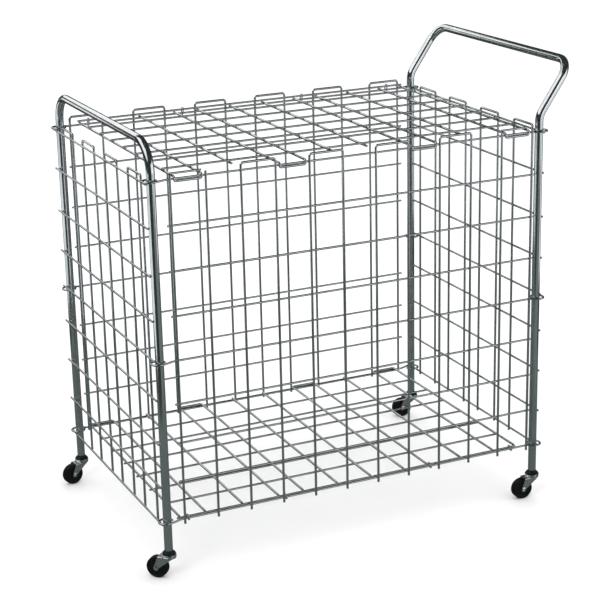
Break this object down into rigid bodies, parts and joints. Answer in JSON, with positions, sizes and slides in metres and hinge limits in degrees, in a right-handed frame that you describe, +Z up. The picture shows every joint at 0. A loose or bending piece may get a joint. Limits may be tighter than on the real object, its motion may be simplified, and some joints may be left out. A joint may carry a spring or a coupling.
{
  "type": "ball cart",
  "caption": "Rolling wire-mesh ball cart on swivel casters, with bent tube ends, a push handle and a hinged mesh lid.",
  "frame": {"origin": "on the floor, under the middle of the bounding box", "axes": "+X along the cart towards the push handle, +Y from the front to the lid's hinge side, +Z up"},
  "size_m": [1.0858, 0.6446, 1.0659],
  "materials": {
    "chrome_plate": "bright chrome plate",
    "zinc_plate": "bright zinc plate",
    "bearing_steel": "plain steel",
    "black_plastic": "satin moulded plastic",
    "black_wheel": "satin solid rubber"
  },
  "bodies": {
    "cart_frame": {"left_end_tube": "chrome_plate", "right_end_tube": "chrome_plate", "left_end_mesh": "chrome_plate", "right_end_mesh": "chrome_plate", "front_panel": "chrome_plate", "back_panel": "chrome_plate", "lid_tie_ring_1": "zinc_plate", "lid_tie_ring_2": "zinc_plate", "lid_tie_ring_3": "zinc_plate", "lid_tie_ring_4": "zinc_plate", "floor_tie_ring_1": "zinc_plate", "floor_tie_ring_2": "zinc_plate", "floor_tie_ring_3": "zinc_plate", "floor_tie_ring_4": "zinc_plate", "front_left_bushing": "black_plastic", "front_left_kingpin": "zinc_plate", "front_left_race_disc": "zinc_plate", "back_left_bushing": "black_plastic", "back_left_kingpin": "zinc_plate", "back_left_race_disc": "zinc_plate", "front_right_bushing": "black_plastic", "front_right_kingpin": "zinc_plate", "front_right_race_disc": "zinc_plate", "back_right_bushing": "black_plastic", "back_right_kingpin": "zinc_plate", "back_right_race_disc": "zinc_plate"},
    "lid": {"lid_panel": "chrome_plate"},
    "floor": {"floor_panel": "chrome_plate"},
    "front_left_caster": {"front_left_fork": "zinc_plate", "front_left_axle": "bearing_steel", "front_left_ball_ring": "bearing_steel"},
    "back_left_caster": {"back_left_fork": "zinc_plate", "back_left_axle": "bearing_steel", "back_left_ball_ring": "bearing_steel"},
    "front_right_caster": {"front_right_fork": "zinc_plate", "front_right_axle": "bearing_steel", "front_right_ball_ring": "bearing_steel"},
    "back_right_caster": {"back_right_fork": "zinc_plate", "back_right_axle": "bearing_steel", "back_right_ball_ring": "bearing_steel"},
    "front_left_roller": {"front_left_wheel": "black_wheel"},
    "back_left_roller": {"back_left_wheel": "black_wheel"},
    "front_right_roller": {"front_right_wheel": "black_wheel"},
    "back_right_roller": {"back_right_wheel": "black_wheel"}
  },
  "joints": [
    {"name": "lid_hinge", "type": "hinge", "parent": "cart_frame", "child": "lid", "pos_m": [-0.01111, 0.30146, 0.9152], "axis": [-1, 0, 0], "range_deg": [0, 125]},
    {"name": "floor_hinge", "type": "hinge", "parent": "cart_frame", "child": "floor", "pos_m": [-0.03031, -0.30054, 0.1377], "axis": [1, 0, 0], "range_deg": [0, 50]},
    {"name": "front_left_swivel", "type": "hinge", "parent": "cart_frame", "child": "front_left_caster", "pos_m": [-0.48981, -0.30404, 0.052], "axis": [0, 0, 1], "continuous": true},
    {"name": "back_left_swivel", "type": "hinge", "parent": "cart_frame", "child": "back_left_caster", "pos_m": [-0.48981, 0.30296, 0.052], "axis": [0, 0, 1], "continuous": true},
    {"name": "front_right_swivel", "type": "hinge", "parent": "cart_frame", "child": "front_right_caster", "pos_m": [0.45219, -0.30404, 0.052], "axis": [0, 0, 1], "continuous": true},
    {"name": "back_right_swivel", "type": "hinge", "parent": "cart_frame", "child": "back_right_caster", "pos_m": [0.45219, 0.30296, 0.052], "axis": [0, 0, 1], "continuous": true},
    {"name": "front_left_wheel_spin", "type": "hinge", "parent": "front_left_caster", "child": "front_left_roller", "pos_m": [-0.50961, -0.28424, 0.025], "axis": [-0.7071, -0.7071, 0], "continuous": true},
    {"name": "back_left_wheel_spin", "type": "hinge", "parent": "back_left_caster", "child": "back_left_roller", "pos_m": [-0.5171, 0.29666, 0.025], "axis": [0.225, -0.9744, 0], "continuous": true},
    {"name": "front_right_wheel_spin", "type": "hinge", "parent": "front_right_caster", "child": "front_right_roller", "pos_m": [0.4242, -0.30306, 0.025], "axis": [-0.0349, -0.9994, 0], "continuous": true},
    {"name": "back_right_wheel_spin", "type": "hinge", "parent": "back_right_caster", "child": "back_right_roller", "pos_m": [0.42461, 0.30782, 0.025], "axis": [-0.1736, -0.9848, 0], "continuous": true}
  ]
}
